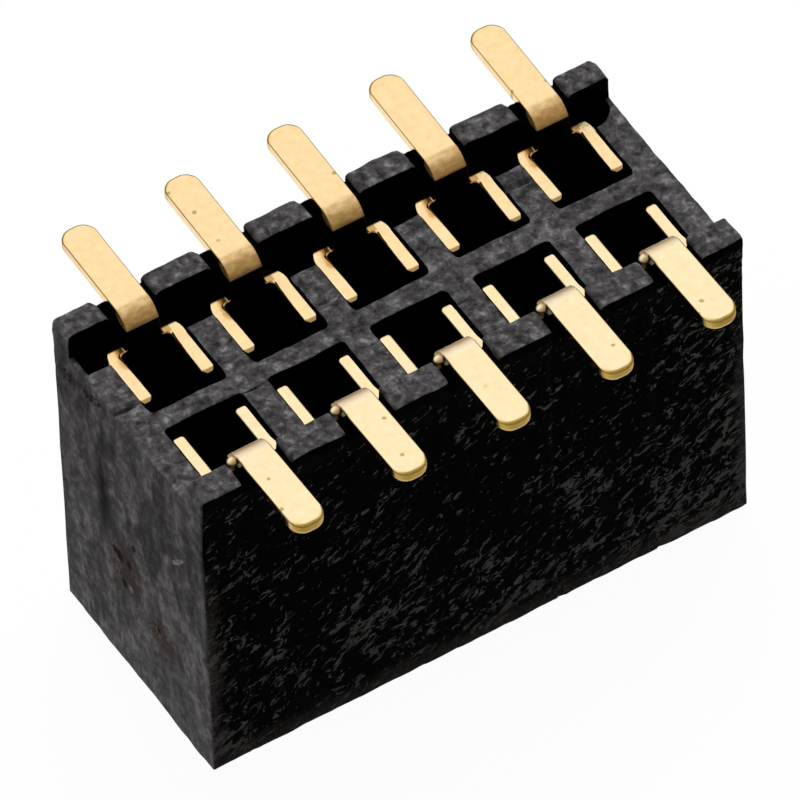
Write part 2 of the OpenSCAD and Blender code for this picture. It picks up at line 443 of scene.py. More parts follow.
def round_corners(corners):
    """Closed outline through corners of (u, v, radius), counter-clockwise. Each corner becomes an
    arc that touches both its sides: the arc starts radius * tan(half the turn) before the corner
    and turns about a centre one radius to the side. Returns the points and outward normals."""
    given = np.array(corners, float)
    before = unit(given[:, :2] - np.roll(given[:, :2], 1, axis=0))
    after = np.roll(before, -1, axis=0)
    turns = np.arctan2(before[:, 0] * after[:, 1] - before[:, 1] * after[:, 0],
                       (before * after).sum(axis=1))
    points = []
    normals = []
    for (u, v, radius), way, turn in zip(given, before, turns):
        steps = max(2, math.ceil(abs(turn) / math.radians(OUTLINE_TURN)))
        side = math.copysign(radius, turn)
        start = np.array([u, v]) - way * radius * math.tan(abs(turn) / 2)
        centre = start + side * np.array([-way[1], way[0]])
        angles = math.atan2(way[1], way[0]) + turn * np.linspace(0, 1, steps + 1)
        outward = np.column_stack([np.sin(angles), -np.cos(angles)])
        points.append(centre + side * outward)
        normals.append(outward)
    closed = np.column_stack([np.concatenate(points), np.concatenate(normals)])
    closed = np.vstack([closed, closed[:1]])
    lengths = np.linalg.norm(np.diff(closed[:, :2], axis=0), axis=1)
    run = np.concatenate([[0], np.cumsum(lengths)])
    extra = np.arange(0, run[-1], OUTLINE_STEP)
    extra = extra[lengths[np.searchsorted(run, extra, side="right") - 1] > OUTLINE_STEP]
    stops = np.unique(np.concatenate([run[:-1], extra]))
    stops = stops[np.concatenate([[True], np.diff(stops) > OUTLINE_GAP])]
    filled = np.column_stack([np.interp(stops, run, column) for column in closed.T])
    return filled[:, :2], unit(filled[:, 2:])


def blank_outline(neck_top):
    """Outline of the contact's flat blank, from the tongue's foot up the right side to the tail's
    tip and down the left side."""
    tongue = TONGUE_W / 2
    neck = TAIL_W / 2
    low = ARM_BOTTOM
    right = [(tongue, low - TONGUE_L, TONGUE_R)]
    for i in range(BARBS, 0, -1):
        foot = low - i * BARB_PITCH
        right += [(tongue, foot, BARB_FOOT_R), (tongue + BARB_OUT, foot + BARB_H, BARB_TIP_R),
                  (tongue, foot + BARB_H, BARB_FOOT_R)]
    right += [
        (tongue, low, ROOT_R), (BEAM_U - BEAM_ROOT_W / 2, low, ROOT_R),
        (BEAM_U - BEAM_ROOT_W / 2, low - BEAM_TAPER_H, TAPER_INNER_R),
        (BEAM_U - BEAM_TIP_W / 2, low - BEAM_TOTAL, BEAM_END_R),
        (BEAM_U + BEAM_TIP_W / 2, low - BEAM_TOTAL, BEAM_END_R),
        (BEAM_U + BEAM_ROOT_W / 2, low - BEAM_TAPER_H, TAPER_OUTER_R),
        (ARM_U, low, ARM_FOOT_R), (ARM_U, ARM_TOP, ARM_CORNER_R),
        (neck, ARM_TOP, ROOT_R), (neck, neck_top, TIP_R),
    ]
    return round_corners(right + [(-u, v, r) for u, v, r in reversed(right)])


def edge_radii(outline, bend_v, arm_edge):
    """Roundings of the sheet's edge on its two faces, at each point of the outline; arm_edge is
    the arms'."""
    u = np.abs(outline[:, 0])
    v = outline[:, 1]
    top = v.max()
    both = []
    for side in (0, 1):
        arm = np.interp(u, [TAIL_W / 2, FOLD_U - EDGE_FOLD[0], FOLD_U + EDGE_FOLD[1]],
                        [EDGE_NECK, EDGE_PLATE[side], arm_edge])
        neck = np.interp(v, [bend_v - EDGE_BEND[0], bend_v + EDGE_BEND[1], top - TIP_R, top - TIP_R / 2],
                         [EDGE_NECK, EDGE_TAIL[side], EDGE_TAIL[side], EDGE_TIP[side]])
        low = np.where(v < ARM_BOTTOM + EDGE_LOW_H, EDGE_LOW[side], arm)
        both.append(np.where(v > ARM_TOP + 0.01, neck, low))
    return both


def shell_faces(count, rows, first):
    """Faces of a closed shell: quads between rows of points that go round it, and a face over its
    first and its last row."""
    i, j = np.meshgrid(np.arange(count), np.arange(rows - 1), indexing="ij")
    here = first + i * rows + j
    there = first + (i + 1) % count * rows + j
    quads = np.stack([here, here + 1, there + 1, there], axis=-1).reshape(-1, 4)
    top = first + np.arange(count) * rows
    return quads.tolist() + [top.tolist(), (top[::-1] + rows - 1).tolist()]


def knob_shell(size):
    """Points and normals of the knob at the neck's right side, at that share of its full size: an
    ellipsoid, centre plus radii times direction, leant back by the bend's lean there, so that it
    comes to lie level."""
    around = np.radians(np.arange(0, 360, KNOB_STEP))[:, None]
    rise = np.radians(np.linspace(KNOB_TOP, -KNOB_TOP, KNOB_ROWS))[None, :]
    way = np.stack(np.broadcast_arrays(np.cos(around) * np.cos(rise), np.sin(around) * np.cos(rise),
                                       np.sin(rise)), axis=-1)
    cosine = math.cos(math.radians(KNOB_LEAN))
    sine = math.sin(math.radians(KNOB_LEAN))
    level = np.array([[1, 0, 0], [0, cosine, sine], [0, -sine, cosine]])
    centre = np.array([TAIL_W / 2 + size * KNOB_OUT, KNOB_V, 0])
    return centre + size * (np.array(KNOB_RADII) * way) @ level, way / np.array(KNOB_RADII) @ level


def blank_mesh(outline, outward, inner, outer, knob):
    """Closed shell of the blank, and the knob. The rim's profile, a quarter round, a straight land
    and a smaller quarter round, is carried round the outline: a point of it is the outline's point
    moved in by its radius times (1 - sine), at the height that the cosine gives. The attribute
    cut_edge is 0 on the faces and 1 on the cut edge."""
    bend = np.radians(np.linspace(0, 90, RIM_STEPS))
    inner = inner[:, None]
    outer = outer[:, None]
    inset = np.hstack([inner * (1 - np.sin(bend)), outer * (1 - np.cos(bend))])
    height = np.hstack([SHEET / 2 - inner * (1 - np.cos(bend)),
                        outer * (1 - np.sin(bend)) - SHEET / 2])
    flat = np.concatenate([np.sin(bend), np.cos(bend)])
    steep = np.concatenate([np.cos(bend), -np.sin(bend)])
    count = len(outline)
    rows = len(flat)
    points = np.empty((count, rows, 3))
    points[:, :, :2] = outline[:, None, :] - inset[:, :, None] * outward[:, None, :]
    points[:, :, 2] = height
    normals = np.empty_like(points)
    normals[:, :, :2] = flat[None, :, None] * outward[:, None, :]
    normals[:, :, 2] = steep
    ball, facing = knob_shell(knob)
    faces = shell_faces(count, rows, 0) + shell_faces(ball.shape[0], ball.shape[1], count * rows)
    points = np.concatenate([points.reshape(-1, 3), ball.reshape(-1, 3)])
    normals = unit(np.concatenate([normals.reshape(-1, 3), facing.reshape(-1, 3)]))
    cut_edge = np.concatenate([np.tile(flat, count), np.zeros(ball[..., 0].size)])
    mesh = bpy.data.meshes.new("blank")
    mesh.from_pydata(points.tolist(), [], faces)
    store = mesh.attributes.new("rim_normal", "FLOAT_VECTOR", "POINT")
    store.data.foreach_set("vector", normals.ravel())
    store = mesh.attributes.new("cut_edge", "FLOAT", "POINT")
    store.data.foreach_set("value", cut_edge)
    return mesh


def cut(mesh, planes):
    """Cuts a mesh along planes of (axis, place)."""
    work = bmesh.new()
    work.from_mesh(mesh)
    bmesh.ops.triangulate(work, faces=[f for f in work.faces if len(f.verts) > 4])
    for axis, place in planes:
        point = [0.0, 0.0, 0.0]
        point[axis] = place
        normal = [0.0, 0.0, 0.0]
        normal[axis] = 1.0
        bmesh.ops.bisect_plane(work, geom=work.verts[:] + work.edges[:] + work.faces[:],
                               dist=1e-5, plane_co=point, plane_no=normal)
    work.to_mesh(mesh)
    work.free()


def carry(along, offset, tilt_along, tilt_offset, bends):
    """Carries points beside a straight line to their places beside a bent one. bends are (start,
    angle, radius) of arcs: the heading is the sum of the angles, each in proportion to the part
    of its arc that is passed, and the place is the integral of the heading's direction, plus the
    offset square to it. The tilts are a normal's two parts, which turn with the heading."""
    fine = np.linspace(0, max(along.max(), 1e-6), BEND_SAMPLES)
    heading = sum(math.radians(angle) * ramp_up(fine, start, start + radius * math.radians(abs(angle)))
                  for start, angle, radius in bends)
    middle = (heading[1:] + heading[:-1]) / 2
    forward = np.concatenate([[0], np.cumsum(np.cos(middle))]) * fine[1]
    aside = np.concatenate([[0], np.cumsum(np.sin(middle))]) * fine[1]
    turn = np.interp(along, fine, heading)
    sine = np.sin(turn)
    cosine = np.cos(turn)
    return (np.interp(along, fine, forward) - offset * sine,
            np.interp(along, fine, aside) + offset * cosine,
            tilt_along * cosine - tilt_offset * sine,
            tilt_along * sine + tilt_offset * cosine)


def neck_and_tail(tip_y, tail_top, lean, slope):
    """Lengths of the neck and of the flat tail, so that the tip's end lies at tip_y and its top
    face at tail_top: both are linear in the two lengths."""
    a = math.radians(lean)
    b = math.radians(slope)
    outward = tip_y - PLATE_MID - NECK_R * (1 - math.cos(a)) - TAIL_MID_R * (math.cos(a) - math.sin(b))
    upward = tail_top - ARM_TOP - NECK_R * math.sin(a) - TAIL_MID_R * (math.cos(b) - math.sin(a)) \
        - SHEET / 2 * math.cos(b)
    return np.linalg.solve([[math.sin(a), math.cos(b)], [math.cos(a), math.sin(b)]],
                           [outward, upward])


def bend_lines(neck_arc, bend_v, tail_arc):
    """Lines across the blank along which it is cut, so that it can follow its bends."""
    levels = [
        *np.linspace(bend_v, bend_v + tail_arc, TAIL_CUTS),
        ARM_TOP + neck_arc / 2, ARM_TOP + neck_arc,
        ARM_BOTTOM - TONGUE_TURN_H, ARM_BOTTOM - TONGUE_TURN_H / 2, ARM_BOTTOM,
        *(ARM_BOTTOM - np.linspace(BEAM_LEAD, BEAM_LEAD + BEAM_ARC, BEAM_CUTS[0])),
        *(ARM_BOTTOM - np.linspace(BEAM_TURN_V, BEAM_TOTAL - FLARE_L, BEAM_CUTS[1])),
    ]
    lines = [(1, v) for v in levels]
    lines += [(0, side * u) for side in (-1, 1) for u in np.linspace(PLATE_HALF, FOLD_U, FOLD_CUTS)]
    return lines + [(0, side * (ARM_U - ARM_END_R * share)) for side in (-1, 1) for share in ARM_END_CUTS]


def form_strip(place, normal, tail_bends, rear):
    """Bends the blank's points (u, v, w) and their normals: the tail and the beams about level
    lines, and then the arms about upright ones. Returns both in the contact's own frame, with X
    beside its middle, Y towards its wall and Z up."""
    u, v, w = place.T
    nu, nv, nw = normal.T
    # The arms' free ends are thinned to a half round: the thickness times the root of one less the
    # square of the way into the end
    reach = np.clip(1 - (ARM_U - np.abs(u)) / ARM_END_R, 0, ARM_END_REACH) * (v > ARM_BOTTOM)
    thin = np.sqrt(1 - reach ** 2)
    nu = nu + np.sign(u) * w * nw * reach / (ARM_END_R * thin ** 2)
    nw = nw / thin
    w = w * thin

    tail = v > ARM_TOP
    up, depth, nup, ndepth = carry(np.where(tail, v - ARM_TOP, 0), w, nv, nw, tail_bends)
    z = np.where(tail, ARM_TOP + up, v)
    d = np.where(tail, depth, w)
    nz = np.where(tail, nup, nv)
    nd = np.where(tail, ndepth, nw)
    tongue = np.abs(u) < TONGUE_SIDE_U
    beam = (v < ARM_BOTTOM) & ~tongue
    beam_bends = [(BEAM_LEAD, BEAM_SLOPE, BEAM_BEND_R),
                  (BEAM_TURN_V, -BEAM_SLOPE - FLARE_SLOPE, PINCH_R)]
    down, depth, ndown, ndepth = carry(np.where(beam, ARM_BOTTOM - v, 0), w, -nv, nw, beam_bends)
    z = np.where(beam, ARM_BOTTOM - down, z)
    d = np.where(beam, depth, d)
    nz = np.where(beam, -ndown, nz)
    nd = np.where(beam, ndepth, nd)

    side = np.sign(u)
    out, inward, nout, ninward = carry(np.abs(u), d, nu * side, nd, [(PLATE_HALF, 90.0, FOLD_MID_R)])
    share = np.where(tongue, ramp_up(v, ARM_BOTTOM - TONGUE_TURN_H, ARM_BOTTOM), 1.0)
    share = share * (1 - ramp_up(v, ARM_TOP, ARM_TOP + NECK_TURN_H))
    x = u * (1 - share) + side * out * share
    y = PLATE_MID - d * (1 - share) - inward * share
    nx = nu * (1 - share) + side * nout * share
    ny = -nd * (1 - share) - ninward * share
    if rear:
        past = np.clip(y - RISE_FROM, 0, None) * ramp_up(v, *RISE_FADE_V) * ramp_up(np.abs(u), *RISE_FADE_U)
        z = z + RISE / 2 * past ** 2
        ny = ny - RISE * past * nz
    return np.column_stack([x, y, z]), unit(np.column_stack([nx, ny, nz]))


def make_contact(name, material, lean, slope, shift, knob, arm_edge):
    """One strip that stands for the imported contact, turned by half a turn in the front row. The
    bend leans outward and the tail slopes up by those angles, its tip lies that far out of line,
    and knob is the share of the knob's full size."""
    low, high = (np.array(corner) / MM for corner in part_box(name))
    rear = high[1] > 0
    tip_y = max(high[1], -low[1]) + shift
    neck, flat = neck_and_tail(tip_y, high[2], lean, slope)
    neck_arc = NECK_R * math.radians(lean)
    tail_arc = TAIL_MID_R * math.radians(90 - slope - lean)
    tail_bends = [(0.0, -lean, NECK_R), (neck_arc + neck, lean + slope - 90, TAIL_MID_R)]
    bend_v = ARM_TOP + neck_arc + neck
    outline, outward = blank_outline(bend_v + tail_arc + flat)
    mesh = blank_mesh(outline, outward, *edge_radii(outline, bend_v, arm_edge), knob)
    cut(mesh, bend_lines(neck_arc, bend_v, tail_arc))
    points, normals = form_strip(vectors(mesh.vertices, "co"),
                                 vectors(mesh.attributes["rim_normal"].data, "vector"), tail_bends, rear)
    turn = np.array([1, 1, 1] if rear else [-1, -1, 1])
    points = points * turn + [(low[0] + high[0]) / 2, 0, 0]
    mesh.vertices.foreach_set("co", (points * MM).ravel())
    mesh.attributes.remove(mesh.attributes["rim_normal"])
    mesh.update()
    mesh.shade_smooth()
    mesh.normals_split_custom_set_from_vertices((normals * turn).tolist())
    mesh.materials.append(material)
    piece = bpy.data.objects.new(name + "_strip", mesh)
    scene.collection.objects.link(piece)
    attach(piece, "root")
    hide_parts(name)


# Places of the gold's marks, real ones as well as painted shade and painted reflections, as ranges
# in mm over which each goes from none to full: out is the way from the middle plane, and beside
# the way from the contact's middle. ROWS goes from the front row to the rear one
ROWS = (-1.0, 1.0)
SPOTTED = {"out": [(1.35, 1.45)]}
# BEND: the bends' satin skin, which also carries patches of painted reflection
BEND = {"past": [(1.24, 1.17)], "z": [(4.16, 4.24)]}
TIP = {"out": [(2.20, 2.34)]}
# NECK, HOLLOW, FLANK, CORNER, FOLD, BELOW_ARMS and BELOW_RIM mark places painted near black: painted shade
# and painted dark reflection of the housing's walls
NECK = {"z": [(4.07, 4.08), (4.345, 4.330)], "beside": [(0.31, 0.29)]}
HOLLOW = {"out": [(1.15, 1.17), (1.32, 1.28)], "z": [(4.40, 4.37)], "beside": [(0.205, 0.195)]}
FLANK = {"out": [(1.20, 1.22), (1.42, 1.34)], "z": [(4.515, 4.495)], "y": [(0.1, -0.1)]}
CORNER = {"from_end": [(0.070, 0.090)], "aside": [(-0.01, 0.01)], "along": [(-0.01, 0.0)]}
FOLD = {"out": [(1.025, 1.050)]}
BELOW_ARMS = {"z": [(4.10, 4.09)]}
# PLATE: the back plate between the arms, painted a darker tan as a painted dim reflection of the rear wall
PLATE = {"beside": [(0.34, 0.32)], "out": [(0.95, 0.98)], "z": [(4.10, 4.09)]}
BELOW_RIM = {"rim": [(4.042, 4.024)]}
# How much further out the front bends' satin skin and its painted reflection reach
FRONT_BEND_OUT = 0.05
# Middle of the fold's round corner, and how much further down the arms' free ends are spared the painted
# shade
CORNER_OUT = 0.97
END_OUT = (0.42, 0.35)
END_BRIGHT_H = 0.03
# Tan spots: size of the cells that hold one each, its edge, and the cells' shades that show it
SPOT_CELL = 0.40
SPOT_EDGE = (0.118, 0.075)
SPOT_CELLS = (0.52, 0.56)
SPOT_RAGGED = 0.08
# Sizes of the patterns. The real sheet's mottle and the plating's ripple are some 0.02 mm wide and
# are drawn coarser, so that they show
MOTTLE = (0.10, 0.10, 0.10)
BEND_SKIN = (0.10, 0.06, 0.06)
FINE_SKIN = (0.06, 0.06, 0.06)
SPOT_RIM = (0.05, 0.05, 0.05)
PLATE_RIPPLE = (0.09, 0.09, 0.09)
PLATE_RIPPLE_H = 0.004


def mask(at, ranges):
    """Product of smooth steps, one for each range of a named value."""
    return product([at[name].spread(*pair) for name, pairs in ranges.items() for pair in pairs])


def gold_plate():
    """Flash gold on stamped phosphor bronze: a pale yellow mirror, deeper on the rear row and the
    tails' tips, with the mottle of the rolled sheet and a few tiny tan spots. The bend's stretched
    skin is satin, with patches of painted reflection: darker tan on the rear bends, greyer cream on
    the front ones. The neck, the hollow under the bend, the front tails' flanks, the folds and the
    arms' sides below their top rim are painted near black, as painted shade and painted dark
    reflection of the housing's walls, and the back plate is painted a darker tan, a painted dim
    reflection of the rear wall."""
    material, tree, shader = new_material("flash gold plate")
    x, y, z = place_mm(tree)
    out = abs(y)
    beside = abs(x).math("PINGPONG", PITCH / 2)
    aside = beside - ARM_X
    along = out - CORNER_OUT
    way_in = (y - RISE_FROM).math("MAXIMUM", 0.0).math("MINIMUM", PLATE_Y - RISE_FROM)
    at = {
        "y": y, "z": z, "out": out, "beside": beside, "aside": aside, "along": along,
        "past": out + y.spread(*ROWS, -FRONT_BEND_OUT, 0.0),
        "from_end": distance(aside, along),
        "rim": z + out.spread(*END_OUT, 0.0, END_BRIGHT_H) - way_in * way_in * (RISE / 2),
    }
    rear = y.spread(*ROWS)
    edge = add(tree, "Attribute", {"attribute_name": "cut_edge"}, out="Fac")

    mottle = noise(tree, MOTTLE, detail=3)
    pale = add(tree, "ValToRGB", stops=[(0.30, "#f8e0ae"), (0.70, "#fce9bf")], Fac=mottle)
    deep = add(tree, "ValToRGB", stops=[(0.30, "#f5d49a"), (0.70, "#fadfac")], Fac=mottle)
    tint = rear.blend(pale, deep)
    cells = add(tree, "TexVoronoi", {"voronoi_dimensions": "2D"}, Scale=1.0, Randomness=1.0,
                Vector=scaled(tree, [SPOT_CELL] * 3))
    apart = cells + noise(tree, SPOT_RIM) * SPOT_RAGGED
    spots = apart.spread(*SPOT_EDGE) * cells.also("Color").spread(*SPOT_CELLS) * mask(at, SPOTTED)
    tint = (spots * 0.7).blend(tint, "#a27a26")
    bend = mask(at, BEND)
    skin = noise(tree, BEND_SKIN, detail=4, roughness=0.6)
    # Painted reflection on the bends, in patches: the rear bends darker tan for the dark housing they face,
    # the front ones greyer cream
    bend_painted_reflection = bend * skin.spread(0.3, 0.7, 0.15, 0.75)
    tint = bend_painted_reflection.blend(tint, rear.blend("#fdeeda", "#c8a064"))
    tip = edge * mask(at, TIP)
    tint = tip.blend(tint, "#e6c86a")
    # Painted dim reflection: the back plate darker tan, as it mirrors the rear wall
    tint = mask(at, PLATE).blend(tint, "#c89f6c")
    # Painted shade and painted dark reflection: the neck, the hollow under the bend, the front flanks, the
    # folds and the arms' sides below their top rim go near black
    neck = highest([mask(at, NECK), mask(at, HOLLOW), mask(at, FLANK) * edge])
    fold = highest([mask(at, CORNER), mask(at, FOLD)]) * mask(at, BELOW_ARMS)
    tint = highest([neck, fold, mask(at, BELOW_RIM)]).blend(tint, "#060403")

    fine = noise(tree, FINE_SKIN).spread(0.3, 0.7, 0.08, 0.15)
    rough = add(tree, "Mix", i0=edge, i2=fine, i3=0.13)
    rough = add(tree, "Mix", i0=highest([bend, tip]), i2=rough, i3=0.48)
    height = noise(tree, PLATE_RIPPLE, detail=4, roughness=0.6)
    bump = add(tree, "Bump", Strength=0.22, Distance=PLATE_RIPPLE_H * MM, Height=height)
    set_inputs(shader, Base_Color=tint, Metallic=1.0, Roughness=rough, Normal=bump)
    return material


# How each row was formed, as make_contact takes it, and how the tails vary: their slope in
# degrees, its spread and the spread of their tips
FRONT_FORM = {"lean": 13.0, "knob": 1.0, "arm_edge": 0.048}
REAR_FORM = {"lean": 1.5, "knob": 0.35, "arm_edge": 0.030}
TAIL_SLOPE = 1.6
SLOPE_SPREAD = 0.5
TIP_SPREAD = 0.008

gold = gold_plate()
chance = np.random.default_rng(7)
for name in FRONT + REAR:
    make_contact(name, gold, slope=TAIL_SLOPE + chance.uniform(-SLOPE_SPREAD, SLOPE_SPREAD),
                 shift=chance.uniform(-TIP_SPREAD, TIP_SPREAD),
                 **(FRONT_FORM if name in FRONT else REAR_FORM))

# The housing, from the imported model
HOUSING_HIGH = np.array(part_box("housing")[1]) / MM
HALF_L, HALF_W, WALL_TOP = HOUSING_HIGH
WALL_T = 0.31
WALL_Y = HALF_W - WALL_T
FLOOR_Z = WALL_TOP - 0.34
NOTCH_Z = WALL_TOP - 0.11
SPINE_HALF = 0.15
NOTCH_W = 0.57
# Rounding of the rims, and of the wall blocks' right outer top corners, where the mould is worn
RIM_R = 0.014
CORNER_R = 0.08
# Size of the cells that the faces are cut into, and the steps of the levels, low and high up
CELL = 0.06
LOW_LEVELS = np.arange(0.3, 3.6, 0.3)
HIGH_LEVELS = np.arange(3.7, WALL_TOP, 0.05)
# Rims that are rounded: how sharp an edge is, in degrees, and how high it lies at least
SHARP_ANGLE = 50
SHARP_Z = 3.9
# Edges up to this angle are shaded smooth
SMOOTH_ANGLE = 38
# Least part of a normal along an axis by which its face counts as a top, an end or the underside
FACING = 0.45
# Heights of the notches' floors, of the inner floor and of the lowest top, and the ends' faces
NOTCH_BAND = (NOTCH_Z - 0.03, NOTCH_Z + 0.02)
FLOOR_BAND = (FLOOR_Z - 0.06, FLOOR_Z + 0.04)
TOP_FROM_Z = FLOOR_Z - 0.05
END_FROM_X = HALF_L - 0.06
# Waves of the faces, as height, length and the first of three seeds, and where they fade in
WAVES = [(0.0035, 0.9, 10), (0.003, 0.28, 20), (0.0022, 0.14, 30)]
TOP_FADE = (3.7, 4.0)
WALL_FADE = (WALL_Y - 0.02, WALL_Y + 0.03)
END_FADE = (HALF_L - 0.10, HALF_L - 0.02)
BASE_Z = 0.01
# Sink lines across the ribs, as (x from, x to, y, half width, depth), and how they wander and end
GROOVES = [
    (-3.36, -3.10, 0.27, 0.020, 0.05), (-2.02, -1.84, 0.254, 0.016, 0.03),
    (-0.75, -0.54, 0.394, 0.022, 0.04), (1.74, 2.04, 0.67, 0.035, 0.07),
    (-2.06, -1.77, -0.203, 0.016, 0.03), (-0.64, -0.57, -0.381, 0.018, 0.03),
    (0.49, 0.58, -0.413, 0.018, 0.03),
]
GROOVE_WANDER = 0.012
GROOVE_WAVE = 0.2
GROOVE_FADE = 0.03
# How far out each block of the rear wall stands, from left to right, and how far the front wall
BLOCK_SHIFTS = [0.020, 0.036, 0.045, 0.060, 0.0, -0.015]
FRONT_SHIFT = 0.045
SHIFT_FADE_Z = (3.4, 4.3)
REAR_FADE = (1.0, 1.1)
FRONT_FADE = (1.2, 1.4)
# The front wall's inner face beside the necks, across and along the row
NECK_FADE_Y = (1.1, 1.15)
NECK_FADE_X = (0.285, 0.305)
# How far the ends draw in at the top: between the first two places, and fading out over the third
END_SHIFT = 0.018
END_SHIFT_Y = (-1.2, 1.2, 0.3)
# Places Y of the spine's two edges at each contact, as shares of the pitch, how much of the way to
# them it is moved, and over which width, heights and part of the middle
SPINE_UPPER = [0.045, 0.045, 0.085, 0.115, 0.085]
SPINE_LOWER = [-0.15, -0.15, -0.115, -0.145, -0.135]
SPINE_SHARE = 0.8
SPINE_FADE = 0.05
SPINE_FADE_Z = (3.75, 4.05)
SPINE_REACH = 0.5
CONTACT_X = (np.arange(POSITIONS) - (POSITIONS - 1) / 2) * PITCH
BLOCK_X = (np.arange(POSITIONS + 1) - POSITIONS / 2) * PITCH


def ripple(points, wavelength, seed, count=14):
    """Smooth random values between about -1 and 1: a sum of sine waves of about that wavelength
    in random directions."""
    chance = np.random.default_rng(seed)
    ways = chance.normal(size=(count, points.shape[1]))
    ways /= np.linalg.norm(ways, axis=1)[:, None]
    ways *= 2 * math.pi / (wavelength * chance.uniform(0.7, 1.5, count))[:, None]
    return np.sin(points @ ways.T + chance.uniform(0, 2 * math.pi, count)).sum(axis=1) / math.sqrt(count)


def bell(values, middle, half_width):
    """1 at the middle, falling as a bell curve to about a third at the half width."""
    return np.exp(-((values - middle) / half_width) ** 2)


def within(values, low, high, fade):
    """1 between low and high, falling to 0 over the fade on both sides."""
    return np.clip(np.minimum(values - low, high - values) / fade + 1, 0, 1)


def worn_corners(x, y, z):
    """Move that rounds the right outer top corner of each wall block: a point within CORNER_R of
    all three faces is pulled to the ball that touches them."""
    right_ends = np.append(CONTACT_X - NOTCH_W / 2, HALF_L)
    to_right = right_ends[np.clip(np.searchsorted(right_ends, x - 0.01), 0, POSITIONS)] - x
    reach = np.column_stack([to_right, HALF_W - np.abs(y), WALL_TOP - z])
    over = np.clip(CORNER_R - reach, 0, None)
    pull = np.clip(1 - CORNER_R / np.maximum(np.linalg.norm(over, axis=1), 1e-6), 0, 1)
    pull *= np.clip(1.5 * over[:, 0] / CORNER_R, 0, 1) * (np.abs(y) > WALL_Y)
    return -over * pull[:, None] * np.column_stack([np.ones(len(x)), np.sign(y), np.ones(len(x))])


def wear_housing(points):
    """Moves the housing's points: wavy faces and ragged rims, blocks that stand out of line, ends
    that draw in, a wandering spine and sink lines in the ribs."""
    x, y, z = points.T
    moved = points.copy()
    top = ramp_up(z, *TOP_FADE)
    outer = ramp_up(np.abs(y), *WALL_FADE)
    ends = ramp_up(np.abs(x), *END_FADE)
    skin = np.maximum(np.maximum(top, outer), ends)
    for axis in range(3):
        moved[:, axis] += skin * sum(height * ripple(points, length, seed + axis)
                                     for height, length, seed in WAVES)
    # The base stays flat on the floor
    moved[:, 2] = np.where(z < BASE_Z, z, moved[:, 2])
    moved += worn_corners(x, y, z)

    high = ramp_up(z, *SHIFT_FADE_Z) ** 2
    moved[:, 1] += np.interp(x, BLOCK_X, BLOCK_SHIFTS) * high * ramp_up(y, *REAR_FADE)
    beside = np.abs((x + PITCH / 2) % PITCH - PITCH / 2)
    by_neck = (1 - ramp_up(beside, *NECK_FADE_X)) * ramp_up(-y, *NECK_FADE_Y)
    moved[:, 1] -= FRONT_SHIFT * high * np.maximum(by_neck, ramp_up(-y, *FRONT_FADE))
    moved[:, 0] -= np.sign(x) * END_SHIFT * within(y, *END_SHIFT_Y) * ends * top

    upper = np.interp(x, CONTACT_X, SPINE_UPPER) * PITCH - SPINE_HALF
    lower = np.interp(x, CONTACT_X, SPINE_LOWER) * PITCH + SPINE_HALF
    wander = bell(y, SPINE_HALF, SPINE_FADE) * upper + bell(y, -SPINE_HALF, SPINE_FADE) * lower
    moved[:, 1] += SPINE_SHARE * ramp_up(z, *SPINE_FADE_Z) * (np.abs(y) < SPINE_REACH) * wander
    floor = (z > FLOOR_BAND[0]) & (z < FLOOR_BAND[1])
    for start, end, place, half_width, depth in GROOVES:
        seed = int(100 + 10 * abs(place))
        middle = place + GROOVE_WANDER * ripple(points[:, :1], GROOVE_WAVE, seed)
        line = bell(y, middle, half_width) * within(x, start, end, GROOVE_FADE)
        moved[:, 2] -= floor * depth * line
    return moved


def housing_cuts():
    """Planes of (axis, place) that cut the housing into small cells, closer at the sink lines."""
    across = list(np.arange(-HALF_W + CELL / 2, HALF_W, CELL))
    for place, half_width in (groove[2:4] for groove in GROOVES):
        across += [place + share * half_width for share in (-1.6, -0.8, 0, 0.8, 1.6)]
    planes = [(2, z) for z in [*LOW_LEVELS, *HIGH_LEVELS]]
    planes += [(1, y) for y in sorted(across)]
    return planes + [(0, x) for x in np.arange(-HALF_L + CELL / 2, HALF_L, CELL)]


